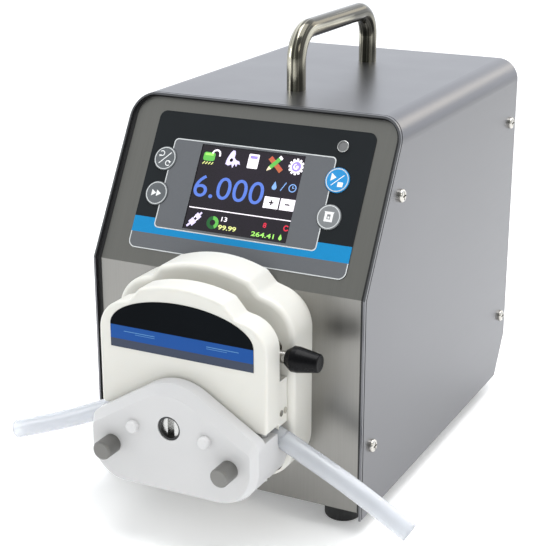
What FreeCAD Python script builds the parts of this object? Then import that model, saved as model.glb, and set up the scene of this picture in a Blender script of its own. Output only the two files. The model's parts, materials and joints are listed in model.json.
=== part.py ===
import FreeCAD, Part
import math
import os

# Benchtop peristaltic pump: a folded steel case with a bent rod handle, a tilted control
# panel, a motor behind the panel and a quick-release tubing head in front of it.
# Millimetres.  X runs to the right, Y to the rear, Z up.  The origin is on the bench, under
# the middle of the whole pump.  The model is drawn in a case frame whose origin is the middle
# of the front sheet's plane, level with the bottom of the cover's sides, and is moved to the
# bench frame when it is written.

# ---- driving dimensions: case
CASE_WIDTH = 150.0
CASE_HEIGHT = 192.1
CASE_LENGTH = 218.3
BEND_HEIGHT = 113.8
SETBACK = 45.9
REAR_CUT_HEIGHT = 23.0
REAR_CUT_DEPTH = 14.8
TOP_RADIUS = 12.0
COVER_SHEET = 1.0
PANEL_SHEET = 1.5
GASKET = 1.9
TOP_GASKET = 1.2
LIP = 2.6
CASE_X = 1.3
FOOT_HEIGHT = 8.7
FOOT_RADIUS = 9.4
FOOT_X = 58.9
FOOT_FRONT = 16.2
FOOT_REAR = 188.2
TRAY_Z = 3.0

# ---- driving dimensions: handle
ROD_RADIUS = 5.0
LEG_FRONT = 80.9
LEG_REAR = 174.4
HANDLE_TOP = 222.0
HANDLE_BEND = 15.0

# ---- driving dimensions: pump head (front faces are at negative y)
SHAFT_Z = 55.7
HOUSING_FRONT = -20.2
FLANGE_REAR = -28.6
FLANGE_FRONT = -42.0
PLATE_REAR = -43.0
PLATE_FRONT = -54.5
ROTOR_Y = -25.2
ROLLER_RADIUS = 6.8
ROLLER_PITCH = 12.8
ROLLER_WIDTH = 16.0
SQUEEZED = 3.1
BED_THICKNESS = 3.6
LIFT = 8.0
LEVER_Z = 89.6
LEVER_Y = -24.9
TUBE_OUTER = 4.8
TUBE_BORE = 3.2
STUD_X = 31.9
STUD_Z = 41.5
EXIT_X = 45.2
EXIT_Z = 47.8
EXIT_SLOPE = math.radians(25.0)
SQUEEZED_HALF = 6.7
POST_X = 39.5
POST_Y = -35.6
LAMP_X = 47.0
LAMP_S = 72.6

# ---- driving dimensions: rear fittings (middle of each across the panel)
INLET_X = -42.0
SWITCH_X = 2.0
DATA_X = 42.0

TILT = math.atan2(SETBACK, CASE_HEIGHT - BEND_HEIGHT)
INNER_HALF = CASE_WIDTH / 2 - COVER_SHEET
PANEL_HALF = INNER_HALF - GASKET
ROLLER_TIP = ROLLER_PITCH + ROLLER_RADIUS
TUBE_LINE = ROLLER_TIP + 0.3 + SQUEEZED / 2
BED_RADIUS = ROLLER_TIP + 0.3 + SQUEEZED + 0.3
BED_OUTER = BED_RADIUS + BED_THICKNESS
CRANK = LIFT / 2
REAR_FACE = CASE_LENGTH - 0.8
NUT_LENGTH = 10.0
FUSE_CAP = 9.0
MIDDLE_Y = (PLATE_FRONT - NUT_LENGTH + REAR_FACE + FUSE_CAP) / 2


def vec(x, y, z):
    return FreeCAD.Vector(x, y, z)


def box(x0, x1, y0, y1, z0, z1):
    return Part.makeBox(x1 - x0, y1 - y0, z1 - z0, vec(x0, y0, z0))


def rod_y(x, z, radius, y0, y1):
    return Part.makeCylinder(radius, y1 - y0, vec(x, y0, z), vec(0, 1, 0))


def rod_x(y, z, radius, x0, x1):
    return Part.makeCylinder(radius, x1 - x0, vec(x0, y, z), vec(1, 0, 0))


def rod_z(x, y, radius, z0, z1):
    return Part.makeCylinder(radius, z1 - z0, vec(x, y, z0), vec(0, 0, 1))


def ring_y(x, z, outer, inner, y0, y1):
    return rod_y(x, z, outer, y0, y1).cut(rod_y(x, z, inner, y0 - 1, y1 + 1))


def face_of(points):
    return Part.Face(Part.makePolygon(points + [points[0]]))


def prism_yz(outline, x0, x1):
    return face_of([vec(x0, y, z) for y, z in outline]).extrude(vec(x1 - x0, 0, 0))


def prism_xz(outline, y0, y1):
    return face_of([vec(x, y0, z) for x, z in outline]).extrude(vec(0, y1 - y0, 0))


def corner_points(before, corner, after, radius):
    """Entry, middle and exit of the tangent arc that rounds a corner."""
    back = (before - corner).normalize()
    ahead = (after - corner).normalize()
    half = back.getAngle(ahead) / 2
    reach = radius / math.tan(half)
    inward = (back + ahead).normalize()
    middle = corner + inward * (radius / math.sin(half) - radius)
    return corner + back * reach, middle, corner + ahead * reach


def rounded_wire(corners, y):
    """Closed XZ outline given as (x, z, corner radius)."""
    spots = [vec(x, y, z) for x, z, radius in corners]
    bends = []
    for index, (x, z, radius) in enumerate(corners):
        after = spots[(index + 1) % len(spots)]
        bends.append(corner_points(spots[index - 1], spots[index], after, radius))
    edges = []
    for index, (entry, middle, leave) in enumerate(bends):
        edges.append(Part.Arc(entry, middle, leave).toShape())
        edges.append(Part.LineSegment(leave, bends[(index + 1) % len(bends)][0]).toShape())
    return Part.Wire(edges)


def rounded_prism(corners, y0, y1):
    return Part.Face(rounded_wire(corners, y0)).extrude(vec(0, y1 - y0, 0))


def mirrored(half):
    """Full outline from the corners of its right half, which start on the centre line."""
    left = [(-x, z, radius) for x, z, radius in reversed(half) if x > 0]
    return half + left


def soften(shape, radius, y):
    """Fillet every edge that lies in the plane at y."""
    chosen = []
    for edge in shape.Edges:
        limits = edge.BoundBox
        if abs(limits.YMin - y) < 1e-4 and abs(limits.YMax - y) < 1e-4:
            chosen.append(edge)
    return shape.makeFillet(radius, chosen)


def both_sides(shape):
    return Part.makeCompound([shape, shape.mirror(vec(0, 0, 0), vec(1, 0, 0))])


def arch(half, top, radius, y0, y1):
    """Upright block with rounded top corners, open downwards past the case."""
    left = CASE_X - half
    right = CASE_X + half
    corners = [(right, top, radius), (right, -20, 1), (left, -20, 1), (left, top, radius)]
    return rounded_prism(corners, y0, y1)


def front_line(depth, z):
    """Y of the front sheet's surface at a height, the given depth behind it."""
    if z <= BEND_HEIGHT - depth * math.tan(TILT / 2):
        return depth
    return (z - BEND_HEIGHT) * math.tan(TILT) + depth / math.cos(TILT)


def front_band(near, far, z0, z1):
    """Slab that follows the bent front between two depths."""
    outline = []
    for depth, order in ((near, (z0, None, z1)), (far, (z1, None, z0))):
        for z in order:
            if z is None:
                outline.append((depth, BEND_HEIGHT - depth * math.tan(TILT / 2)))
            else:
                outline.append((front_line(depth, z), z))
    return prism_yz(outline, -CASE_WIDTH, CASE_WIDTH)


def rear_line(depth, z0):
    """Outline points of the rear edge, from the top down, the given depth inside it."""
    slope = math.atan2(REAR_CUT_DEPTH, REAR_CUT_HEIGHT)
    turn = REAR_CUT_HEIGHT + depth * math.tan(slope / 2)
    along = (turn - z0) * math.tan(slope)
    rear = CASE_LENGTH - depth
    return [(rear, CASE_HEIGHT + 10), (rear, turn), (rear - along, z0)]


def tilted(shape):
    """Move a shape drawn flat (x across, y up the slope, z out) onto the sloping panel."""
    placed = shape.copy()
    placed.rotate(vec(0, 0, 0), vec(1, 0, 0), 90 - math.degrees(TILT))
    placed.translate(vec(0, 0, BEND_HEIGHT))
    return placed


def save(shape, name):
    moved = shape.copy()
    moved.translate(vec(0, -MIDDLE_Y, FOOT_HEIGHT))
    moved.exportStep("parts/" + name + ".step")


# ---- case

def side_screw_spots():
    return [(38.2, 155.5), (9.1, 36.4), (207.2, 37.9), (207.2, 157.0)]


def edge_groove(outer):
    """Fine groove round the cover's outside, just behind its front edge."""
    floor = 0.45
    kept = arch(CASE_WIDTH / 2 - floor, CASE_HEIGHT - floor, TOP_RADIUS - floor, -30, 280)
    return outer.cut(kept).common(front_band(-1.3, -0.5, -5, CASE_HEIGHT + 10))


def case_cover():
    depth = CASE_LENGTH + 60
    outer = arch(CASE_WIDTH / 2, CASE_HEIGHT, TOP_RADIUS, -30, depth)
    inner = arch(INNER_HALF, CASE_HEIGHT - COVER_SHEET, TOP_RADIUS - COVER_SHEET, -30, depth)
    front = [(-LIP, 0), (-LIP, BEND_HEIGHT + LIP * math.tan(TILT / 2))]
    front.append((front_line(-LIP, CASE_HEIGHT + 10), CASE_HEIGHT + 10))
    side = prism_yz(front + rear_line(0, 0), -CASE_WIDTH, CASE_WIDTH)
    cover = outer.cut(inner).common(side).cut(edge_groove(outer))
    for y, z in side_screw_spots():
        cover = cover.cut(rod_x(y, z, 2.1, -CASE_WIDTH, CASE_WIDTH))
    for y in (LEG_FRONT, LEG_REAR):
        cover = cover.cut(rod_z(0, y, 2.6, CASE_HEIGHT - 5, CASE_HEIGHT + 5))
    return cover


def dished(outer_band, inner_band, y0, y1):
    """Sheet with flanges turned back along its sides and its rounded top."""
    top = CASE_HEIGHT - COVER_SHEET - TOP_GASKET
    radius = TOP_RADIUS - COVER_SHEET - GASKET
    shell = arch(PANEL_HALF, top, radius, y0, y1).common(outer_band)
    inside = arch(PANEL_HALF - PANEL_SHEET, top - PANEL_SHEET, radius - PANEL_SHEET, y0, y1)
    return shell.cut(inside.common(inner_band))


def key_spots():
    return [(x, s) for x in (-47.9, 47.9) for s in (37.2, 55.7)]


def front_panel():
    outer_band = front_band(0, 22, TRAY_Z, CASE_HEIGHT + 10)
    inner_band = front_band(PANEL_SHEET, 40, -5, CASE_HEIGHT + 20)
    panel = dished(outer_band, inner_band, -10, 130)
    panel = panel.cut(tilted(box(-30.6, 30.6, 19.6, 67.4, -10, 10)))
    for x, s in key_spots():
        panel = panel.cut(tilted(Part.makeCylinder(6.5, 20, vec(x, s, -10))))
    panel = panel.cut(tilted(Part.makeCylinder(2.2, 20, vec(LAMP_X, LAMP_S, -10))))
    panel = panel.cut(rod_y(0, SHAFT_Z, 9.0, -5, 10))
    for x, z in housing_screw_spots():
        panel = panel.cut(rod_y(x, z, 2.05, -5, 10))
    for y, z in side_screw_spots():
        panel = panel.cut(rod_x(y, z, 1.95, -CASE_WIDTH, CASE_WIDTH))
    return panel


def front_gasket():
    top = CASE_HEIGHT - COVER_SHEET
    outer = arch(INNER_HALF, top, TOP_RADIUS - COVER_SHEET, -10, 130)
    inner = arch(PANEL_HALF, top - TOP_GASKET, TOP_RADIUS - COVER_SHEET - GASKET, -10, 130)
    return outer.cut(inner).common(front_band(-0.3, 6, TRAY_Z, CASE_HEIGHT + 10))


def rear_slab(near, far, z0):
    outline = rear_line(near, z0) + list(reversed(rear_line(far, z0)))
    return prism_yz(outline, -CASE_WIDTH, CASE_WIDTH)


def rear_panel():
    panel = dished(rear_slab(0.8, 14, TRAY_Z), rear_slab(0.8 + PANEL_SHEET, 30, -5), 150, 230)
    panel = panel.cut(box(INLET_X - 13.9, INLET_X + 13.9, 210, 222, 50.0, 70.0))
    panel = panel.cut(rod_y(INLET_X, 96.0, 6.6, 210, 222))
    panel = panel.cut(box(SWITCH_X - 8.0, SWITCH_X + 8.0, 210, 222, 48.2, 71.8))
    panel = panel.cut(box(DATA_X - 12.7, DATA_X + 12.7, 210, 222, 55.6, 64.4))
    for x in (INLET_X - 20, INLET_X + 20):
        panel = panel.cut(rod_y(x, 60, 1.5, 210, 222))
    for x in (DATA_X - 16.65, DATA_X + 16.65):
        panel = panel.cut(rod_y(x, 60, 1.6, 210, 222))
    for y, z in side_screw_spots():
        panel = panel.cut(rod_x(y, z, 1.95, -CASE_WIDTH, CASE_WIDTH))
    return panel


def base_tray():
    half = PANEL_HALF - PANEL_SHEET - 0.2
    tray = box(CASE_X - half, CASE_X + half, 1.7, 202.2, TRAY_Z, TRAY_Z + 1.5)
    for side in (-1, 1):
        x0, x1 = sorted((CASE_X + side * half, CASE_X + side * (half - 1.5)))
        tray = tray.fuse(box(x0, x1, 24, 200, TRAY_Z, TRAY_Z + 15))
    for x, y in foot_spots():
        tray = tray.cut(rod_z(x, y, 1.95, 0, 10))
    return tray.removeSplitter()


def foot_spots():
    return [(x, y) for x in (-FOOT_X, FOOT_X) for y in (FOOT_FRONT, FOOT_REAR)]


def feet():
    pads = []
    for x, y in foot_spots():
        pad = rod_z(x, y, FOOT_RADIUS, -FOOT_HEIGHT, TRAY_Z)
        pad = pad.makeFillet(2.0, [edge for edge in pad.Edges if edge.BoundBox.ZMax < 0])
        pad = pad.cut(rod_z(x, y, 4.2, -FOOT_HEIGHT - 1, -FOOT_HEIGHT + 5))
        pads.append(pad.cut(rod_z(x, y, 1.95, -20, 10)))
    return Part.makeCompound(pads)


def foot_screws():
    screws = []
    for x, y in foot_spots():
        head = rod_z(x, y, 3.8, -FOOT_HEIGHT + 2.4, -FOOT_HEIGHT + 5)
        socket = rod_z(x, y, 1.6, -FOOT_HEIGHT + 2, -FOOT_HEIGHT + 4)
        screws.append(head.fuse(rod_z(x, y, 1.9, -FOOT_HEIGHT + 5, 9)).cut(socket))
    return Part.makeCompound(screws)


def carry_handle():
    bottom = CASE_HEIGHT
    left = vec(0, LEG_FRONT, HANDLE_TOP)
    right = vec(0, LEG_REAR, HANDLE_TOP)
    low_left = vec(0, LEG_FRONT, bottom)
    low_right = vec(0, LEG_REAR, bottom)
    first = corner_points(low_left, left, right, HANDLE_BEND)
    second = corner_points(left, right, low_right, HANDLE_BEND)
    edges = [Part.LineSegment(low_left, first[0]).toShape(), Part.Arc(*first).toShape()]
    edges += [Part.LineSegment(first[2], second[0]).toShape(), Part.Arc(*second).toShape()]
    edges.append(Part.LineSegment(second[2], low_right).toShape())
    ring = Part.Wire(Part.Circle(low_left, vec(0, 0, 1), ROD_RADIUS).toShape())
    bar = Part.Wire(edges).makePipeShell([ring], True, False)
    for y in (LEG_FRONT, LEG_REAR):
        bar = bar.cut(rod_z(0, y, 2.5, bottom - 1, bottom + 12))
    return bar


def handle_screws():
    screws = []
    for y in (LEG_FRONT, LEG_REAR):
        under = CASE_HEIGHT - COVER_SHEET
        head = rod_z(0, y, 4.6, under - 3.0, under)
        screws.append(head.fuse(rod_z(0, y, 2.5, under - 0.5, CASE_HEIGHT + 11)))
    return Part.makeCompound(screws)


def side_screws():
    screws = []
    for y, z in side_screw_spots():
        half = CASE_WIDTH / 2
        head = rod_x(y, z, 3.3, half, half + 2.2)
        head = head.makeFillet(1.3, [edge for edge in head.Edges if edge.BoundBox.XMin > half + 1])
        cross = box(half + 1.2, half + 3, y - 2.0, y + 2.0, z - 0.45, z + 0.45)
        cross = cross.fuse(box(half + 1.2, half + 3, y - 0.45, y + 0.45, z - 2.0, z + 2.0))
        screw = head.fuse(rod_x(y, z, 1.9, half - 7, half + 0.5)).cut(cross)
        pair = both_sides(screw)
        pair.translate(vec(CASE_X, 0, 0))
        screws.append(pair)
    return Part.makeCompound(screws)


# ---- controls on the sloping panel (drawn flat, then tilted)

def flat_plate(half, s0, s1, radius, n0, n1, centre=0.0):
    """Rectangle with rounded corners across the slope between two heights above the sheet."""
    across = (centre - half, centre + half)
    corners = [(across[0], s0), (across[0], s1), (across[1], s1), (across[1], s0)]
    upright = rounded_prism([(x, s, radius) for x, s in corners], 0, n1 - n0)
    upright.rotate(vec(0, 0, 0), vec(1, 0, 0), 90)
    limits = upright.BoundBox
    upright.translate(vec(0, 0, n0 - limits.ZMin))
    upright.translate(vec(0, s0 - upright.BoundBox.YMin, 0))
    return upright


def control_overlay():
    sheet = flat_plate(60.1, 8.0, 81.0, 4.0, 0, 0.4, 3.0)
    sheet = sheet.cut(box(-28.8, 28.8, 21.4, 65.6, -1, 2))
    for x, s in key_spots():
        sheet = sheet.cut(Part.makeCylinder(6.5, 5, vec(x, s, -2)))
    sheet = sheet.cut(Part.makeCylinder(2.2, 5, vec(LAMP_X, LAMP_S, -2)))
    return tilted(sheet)


def display_window():
    return tilted(box(-30.5, 30.5, 19.7, 67.3, -PANEL_SHEET, 0))


def lcd_module():
    frame = box(-33, 33, 17.5, 69.5, -7.0, -PANEL_SHEET - 0.1)
    return tilted(frame)


def key_cap(x, s):
    cap = Part.makeCylinder(6.3, 4.2, vec(x, s, -3.2))
    cap = cap.makeFillet(0.4, [edge for edge in cap.Edges if edge.BoundBox.ZMin > 0.9])
    cap = cap.fuse(Part.makeCylinder(7.3, 1.0, vec(x, s, -3.2)))
    cap = cap.fuse(Part.makeCylinder(1.8, 4.5, vec(x, s, -7.6)))
    return tilted(cap)


def key_board():
    board = box(-64, 64, 10, 80, -14.0, -12.4)
    for x in (-58, 58):
        for s in (16, 76):
            board = board.cut(Part.makeCylinder(1.5, 5, vec(x, s, -16)))
    return tilted(board)


def key_pillars():
    pillars = []
    for x in (-58, 58):
        for s in (16, 76):
            pillar = Part.makeCylinder(2.6, 12.4 - PANEL_SHEET, vec(x, s, -12.4))
            pillars.append(tilted(pillar.fuse(Part.makeCylinder(1.5, 2.4, vec(x, s, -14.8)))))
    return pillars


def key_switches():
    switches = []
    for x, s in key_spots():
        body = box(x - 3, x + 3, s - 3, s + 3, -12.4, -9.2)
        switches.append(tilted(body.fuse(Part.makeCylinder(1.6, 1.0, vec(x, s, -9.4)))))
    return Part.makeCompound(switches)


def lamp_bezel():
    ring = Part.makeCylinder(3.0, 0.9, vec(LAMP_X, LAMP_S, 0.4))
    ring = ring.makeFillet(0.3, [edge for edge in ring.Edges if edge.BoundBox.ZMin > 1.2])
    ring = ring.cut(Part.makeCylinder(2.35, 2, vec(LAMP_X, LAMP_S, 0.6)))
    ring = ring.fuse(Part.makeCylinder(2.15, 3.1, vec(LAMP_X, LAMP_S, -2.6)))
    return tilted(ring.cut(Part.makeCylinder(1.75, 8, vec(LAMP_X, LAMP_S, -4))))


def indicator_lamp():
    cap = Part.makeCylinder(2.3, 0.5, vec(LAMP_X, LAMP_S, 0.6))
    cap = cap.makeFillet(0.3, [edge for edge in cap.Edges if edge.BoundBox.ZMin > 1.0])
    return tilted(cap.fuse(Part.makeCylinder(1.75, 9.0, vec(LAMP_X, LAMP_S, -8.3))))


# ---- inside the case

def power_supply():
    return box(-66, -8, 90, 178, TRAY_Z + 1.5, 42)


def control_board():
    board = box(0, 66, 90, 178, 14.0, 15.6)
    for x, y in board_spots():
        board = board.cut(rod_z(x, y, 1.5, 10, 20))
    return board


def board_spots():
    return [(x, y) for x in (5, 61) for y in (95, 173)]


def board_standoffs():
    posts = []
    for x, y in board_spots():
        posts.append(rod_z(x, y, 2.8, TRAY_Z + 1.5, 14.0).fuse(rod_z(x, y, 1.5, 13, 17)))
    return posts


def motor_plate():
    plate = box(-46, 46, PANEL_SHEET, PANEL_SHEET + 3, 12, 108)
    plate = plate.cut(rod_y(0, SHAFT_Z, 19.1, 0, 10))
    for x, z in motor_screw_spots():
        plate = plate.cut(rod_y(x, z, 2.4, 0, 10))
    for x, z in housing_screw_spots():
        plate = plate.cut(rod_y(x, z, 1.95, 0, 10))
    return plate


def motor_screw_spots():
    return [(x, SHAFT_Z + z) for x in (-23.57, 23.57) for z in (-23.57, 23.57)]


def stepper_motor():
    face = PANEL_SHEET + 3
    middle = SHAFT_Z
    flange = box(-28.5, 28.5, face, face + 4.8, middle - 28.5, middle + 28.5)
    for x, z in motor_screw_spots():
        flange = flange.cut(rod_y(x, z, 2.45, 0, 20))
    cut = 17.0
    outline = [(-28.5, middle - 28.5 + cut), (-28.5, middle + 28.5 - cut)]
    outline += [(-28.5 + cut, middle + 28.5), (28.5 - cut, middle + 28.5)]
    outline += [(28.5, middle + 28.5 - cut), (28.5, middle - 28.5 + cut)]
    outline += [(28.5 - cut, middle - 28.5), (-28.5 + cut, middle - 28.5)]
    can = prism_xz(outline, face + 4.8, face + 76)
    pilot = rod_y(0, middle, 19.05, face - 1.6, face)
    return flange.fuse(can).fuse(pilot).cut(rod_y(0, middle, 4.1, 0, face + 70))


def motor_shaft():
    shaft = rod_y(0, SHAFT_Z, 4.0, 1.2, 72)
    tongue = box(-1.2, 1.2, -2.6, 1.4, SHAFT_Z - 3.6, SHAFT_Z + 3.6)
    return shaft.fuse(tongue)


def motor_screws():
    screws = []
    for x, z in motor_screw_spots():
        shank = rod_y(x, z, 2.4, PANEL_SHEET + 0.2, 9.6)
        screws.append(shank.fuse(rod_y(x, z, 4.0, 9.3, 13.3)))
    return Part.makeCompound(screws)


# ---- rear panel fittings

def power_inlet():
    y = REAR_FACE
    flange = rounded_prism([(INLET_X - 25, 48.5, 3), (INLET_X - 25, 71.5, 3),
                            (INLET_X + 25, 71.5, 3), (INLET_X + 25, 48.5, 3)], y, y + 3)
    body = box(INLET_X - 13.7, INLET_X + 13.7, y - 22, y + 1, 50.2, 69.8)
    mouth = [(INLET_X - 12, 52), (INLET_X - 12, 63.4), (INLET_X - 7.4, 68)]
    mouth += [(INLET_X + 7.4, 68), (INLET_X + 12, 63.4), (INLET_X + 12, 52)]
    inlet = flange.fuse(body).cut(prism_xz(mouth, y - 14, y + 5))
    for x in (INLET_X - 20, INLET_X + 20):
        inlet = inlet.cut(rod_y(x, 60, 1.5, y - 3, y + 5))
        inlet = inlet.cut(Part.makeCone(1.5, 3.1, 1.6, vec(x, y + 1.4, 60), vec(0, 1, 0)))
    for x, z in pin_spots():
        inlet = inlet.cut(box(x - 1, x + 1, y - 30, y - 10, z - 2, z + 2))
    return inlet


def pin_spots():
    return [(INLET_X - 7, 58.6), (INLET_X + 7, 58.6), (INLET_X, 62.8)]


def inlet_pins():
    pins = [box(x - 1, x + 1, REAR_FACE - 28, REAR_FACE - 4, z - 2, z + 2) for x, z in pin_spots()]
    return Part.makeCompound(pins)


def inlet_screws():
    screws = []
    for x in (INLET_X - 20, INLET_X + 20):
        y = REAR_FACE
        cone = Part.makeCone(1.5, 2.9, 1.4, vec(x, y + 1.4, 60), vec(0, 1, 0))
        screw = cone.fuse(rod_y(x, 60, 1.5, y - 6, y + 1.5))
        slot = box(x - 2, x + 2, y + 2.2, y + 4, 59.7, 60.3)
        screws.append(screw.cut(slot))
    return Part.makeCompound(screws)


def fuse_holder():
    y = REAR_FACE
    collar = rod_y(INLET_X, 96.0, 9.0, y, y + 2.5)
    barrel = rod_y(INLET_X, 96.0, 6.4, y - 30, y + 1)
    cap = rod_y(INLET_X, 96.0, 6.2, y + 2, y + FUSE_CAP)
    slot = box(INLET_X - 4.5, INLET_X + 4.5, y + 7.5, y + 12, 95.4, 96.6)
    return collar.fuse(barrel).fuse(cap).cut(slot)


def switch_frame():
    y = REAR_FACE
    bezel = box(SWITCH_X - 9.5, SWITCH_X + 9.5, y, y + 2.4, 46.6, 73.4)
    body = box(SWITCH_X - 7.8, SWITCH_X + 7.8, y - 16, y + 1, 48.5, 71.5)
    frame = bezel.fuse(body)
    well = box(SWITCH_X - 6.2, SWITCH_X + 6.2, y - 8, y + 6, 50.2, 69.8)
    return frame.cut(well).cut(rod_x(y, 60, 1.25, SWITCH_X - 7.2, SWITCH_X + 7.2))


def switch_rocker():
    y = REAR_FACE
    points = [(-3.2, -7.6), (4.6, -8.6), (2.6, 0.0), (4.6, 8.6), (-3.2, 7.6)]
    outline = [(y + out, 60 + up) for out, up in points]
    rocker = prism_yz(outline, SWITCH_X - 5.9, SWITCH_X + 5.9)
    rocker = rocker.fuse(rod_x(y, 60, 1.2, SWITCH_X - 7.0, SWITCH_X + 7.0))
    rocker.rotate(vec(0, y, 60), vec(1, 0, 0), 10)
    return rocker


def data_connector():
    y = REAR_FACE
    flange = rounded_prism([(DATA_X - 19.6, 53.8, 2), (DATA_X - 19.6, 66.2, 2),
                            (DATA_X + 19.6, 66.2, 2), (DATA_X + 19.6, 53.8, 2)], y, y + 1)
    shell = [(DATA_X - 12.5, 64.2, 2), (DATA_X + 12.5, 64.2, 2)]
    shell += [(DATA_X + 10.9, 55.8, 2), (DATA_X - 10.9, 55.8, 2)]
    hollow = [(DATA_X - 11.8, 63.6, 1.5), (DATA_X + 11.8, 63.6, 1.5)]
    hollow += [(DATA_X + 10.3, 56.4, 1.5), (DATA_X - 10.3, 56.4, 1.5)]
    connector = flange.fuse(rounded_prism(shell, y - 10, y + 6))
    connector = connector.cut(rounded_prism(hollow, y - 2, y + 8))
    for x in (DATA_X - 16.65, DATA_X + 16.65):
        connector = connector.cut(rod_y(x, 60, 1.6, y - 3, y + 3))
    return connector


def jack_screws():
    posts = []
    for x in (DATA_X - 16.65, DATA_X + 16.65):
        sides = [(x + 2.8 * math.cos(math.radians(60 * k)), 60 + 2.8 * math.sin(math.radians(60 * k)))
                 for k in range(6)]
        post = prism_xz(sides, REAR_FACE + 1, REAR_FACE + 6)
        post = post.fuse(rod_y(x, 60, 1.5, REAR_FACE - 6, REAR_FACE + 1.5))
        posts.append(post.cut(rod_y(x, 60, 1.0, REAR_FACE + 1, REAR_FACE + 8)))
    return Part.makeCompound(posts)


# ---- pump head

def housing_screw_spots():
    return [(x, z) for x in (-38.0, 38.0) for z in (31.5, 92.0)]


def lower_outline():
    half = [(0, 81.6, 27.0), (45.2, 53.9, 6.0), (45.2, 22.0, 19.0)]
    return mirrored(half)


def bevelled_plate():
    """Front plate of the lower block, with a broad bevel along its upper edges."""
    bevel = PLATE_FRONT + 4.5
    face = mirrored([(0, 76.4, 24.0), (42.8, 50.2, 3.6), (42.8, 23.2, 17.6)])
    wires = [rounded_wire(face, PLATE_FRONT), rounded_wire(lower_outline(), bevel)]
    front = soften(Part.makeLoft(wires, True, True), 0.7, PLATE_FRONT)
    return front.fuse(rounded_prism(lower_outline(), bevel, PLATE_REAR))


def crowned_outline(width, bottom, low_radius, crown, step, shoulder, radii):
    """Shield with a raised crown: corners from the apex to the lower corner and mirrored."""
    half = [(0, crown + 3.2, radii[0]), (step[0], step[1], radii[1])]
    half += [(shoulder[0], shoulder[1], radii[2]), (width, shoulder[2], radii[3])]
    half.append((width, bottom, low_radius))
    return mirrored(half)


def rear_housing():
    outline = crowned_outline(48.3, 21.5, 21.0, 126.4, (24.3, 122.1), (29.5, 116.3, 110.7),
                              (64.0, 5.0, 4.0, 19.0))
    body = soften(rounded_prism(outline, HOUSING_FRONT, 0), 3.0, HOUSING_FRONT)
    floor = ROTOR_Y + ROLLER_WIDTH / 2 + 2.6
    room = BED_OUTER + 0.5
    top = SHAFT_Z + LIFT + 0.3
    body = body.cut(rod_y(0, SHAFT_Z, room, HOUSING_FRONT - 5, floor))
    body = body.cut(rod_y(0, top, room, HOUSING_FRONT - 5, floor))
    body = body.cut(box(-room, room, HOUSING_FRONT - 5, floor, SHAFT_Z, top))
    body = body.cut(rod_y(0, SHAFT_Z, 8.0, floor - 1, floor + 6))
    body = body.cut(rod_y(0, SHAFT_Z, 6.2, floor - 1, 5))
    slot_z = LEVER_Z + CRANK
    body = body.cut(box(-CRANK - 3.2, 3.2, HOUSING_FRONT - 5, -13.5, slot_z - 3.4, slot_z + 3.4))
    for x, z in housing_screw_spots():
        body = body.cut(rod_y(x, z, 2.05, HOUSING_FRONT - 5, 5))
        body = body.cut(rod_y(x, z, 4.2, HOUSING_FRONT - 5, HOUSING_FRONT + 5))
    for x in (-STUD_X, STUD_X):
        body = body.cut(rod_y(x, STUD_Z, 2.5, HOUSING_FRONT - 5, -6))
    return body


def housing_screws():
    screws = []
    for x, z in housing_screw_spots():
        head = rod_y(x, z, 3.5, HOUSING_FRONT + 1, HOUSING_FRONT + 5)
        socket = rod_y(x, z, 1.5, HOUSING_FRONT, HOUSING_FRONT + 3)
        screw = head.fuse(rod_y(x, z, 1.95, HOUSING_FRONT + 5, 7))
        screws.append(screw.cut(socket))
    return Part.makeCompound(screws)


def tube_trough(side, radius):
    """Straight channel along the tube's way out of the head."""
    start = vec(side * 22.0, ROTOR_Y, EXIT_Z + (EXIT_X - 22.0) * math.tan(EXIT_SLOPE))
    way = vec(side * math.cos(EXIT_SLOPE), 0, -math.sin(EXIT_SLOPE))
    return Part.makeCylinder(radius, 50, start, way)


def lower_block():
    kept = box(-60, 60, -60, 0, 0, 47.0)
    for side in (-1, 1):
        x0, x1 = sorted((side * 31.0, side * 60.0))
        kept = kept.fuse(box(x0, x1, PLATE_REAR - 1, ROTOR_Y - TUBE_OUTER - 0.5, 40, 52.5))
    saddle = rounded_prism(lower_outline(), PLATE_REAR - 0.5, HOUSING_FRONT).common(kept)
    block = bevelled_plate().fuse(saddle)
    block = block.cut(rod_y(0, SHAFT_Z, ROLLER_TIP + 2, -36.4, 0))
    for side in (-1, 1):
        block = block.cut(tube_trough(side, TUBE_OUTER + 0.2))
        block = block.cut(rod_y(side * STUD_X, STUD_Z, 2.5, -60, 0))
        block = block.cut(rod_y(side * 19.5, 53.2, 3.0, PLATE_FRONT - 1, PLATE_FRONT + 7))
        block = block.cut(rod_z(side * POST_X, POST_Y, 3.0, 30, 60))
        block = block.cut(rod_y(side * 38.0, 31.5, 4.2, -25, 0))
    block = block.cut(rod_y(0, SHAFT_Z, 6.1, -60, -40))
    return block.cut(rod_y(0, SHAFT_Z, 8.0, PLATE_REAR - 6.0, -40)).removeSplitter()


def shaft_bearings():
    floor = ROTOR_Y + ROLLER_WIDTH / 2 + 2.6
    front = ring_y(0, SHAFT_Z, 8.0, 5.05, PLATE_REAR - 6.0, PLATE_REAR)
    nose = ring_y(0, SHAFT_Z, 6.0, 5.05, PLATE_FRONT + 0.6, PLATE_REAR - 5.5)
    rear = ring_y(0, SHAFT_Z, 8.0, 5.05, floor, floor + 6)
    return Part.makeCompound([front.fuse(nose), rear])


def locating_pins():
    pins = []
    for x in (-19.5, 19.5):
        pin = rod_y(x, 53.2, 3.0, PLATE_FRONT - 3, PLATE_FRONT + 7)
        pins.append(soften(pin, 1.0, PLATE_FRONT - 3))
    return Part.makeCompound(pins)


def guide_posts():
    posts = []
    for x in (-POST_X, POST_X):
        post = rod_z(x, POST_Y, 3.0, 30, 90)
        posts.append(post.makeChamfer(0.6, [edge for edge in post.Edges if edge.BoundBox.ZMin > 89]))
    return Part.makeCompound(posts)


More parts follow.
